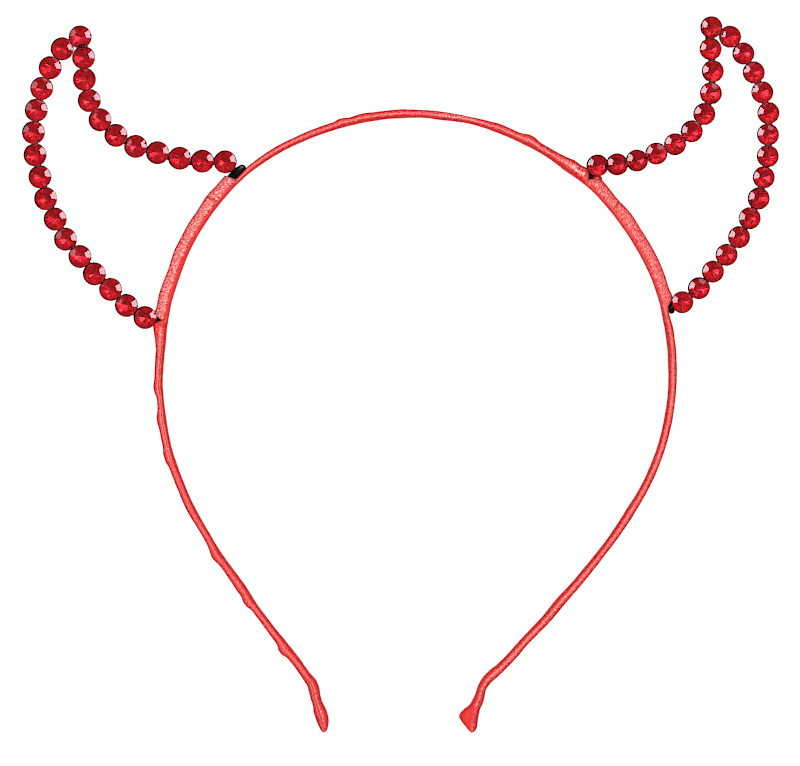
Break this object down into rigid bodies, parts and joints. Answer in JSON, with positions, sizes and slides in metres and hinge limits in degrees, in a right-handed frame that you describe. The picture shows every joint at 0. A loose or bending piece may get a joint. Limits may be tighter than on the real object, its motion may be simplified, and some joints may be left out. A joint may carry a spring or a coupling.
{
  "type": "devil horns headband",
  "caption": "Thin satin-covered headband, open below, with two curved devil horns outlined in red stones on black wire.",
  "frame": {"origin": "on the surface it lies on, at the middle of the whole outline's box", "axes": "+X to the right as the front is seen, +Y from the band's open ends towards the horns, +Z from the surface to the stones' tables (the front)"},
  "size_m": [0.1816, 0.1718, 0.0068],
  "materials": {
    "satin_ribbon": "red satin ribbon with a soft lengthwise sheen",
    "black_wire": "gloss black enamel",
    "red_stone": "clear deep red, faceted, foiled behind"
  },
  "bodies": {
    "root": {"satin_band": "satin_ribbon", "horn_wrap_left": "satin_ribbon", "horn_wrap_right": "satin_ribbon", "horn_frame_left": "black_wire", "horn_frame_right": "black_wire", "stone_chain_left": "red_stone", "stone_chain_right": "red_stone"}
  },
  "joints": []
}
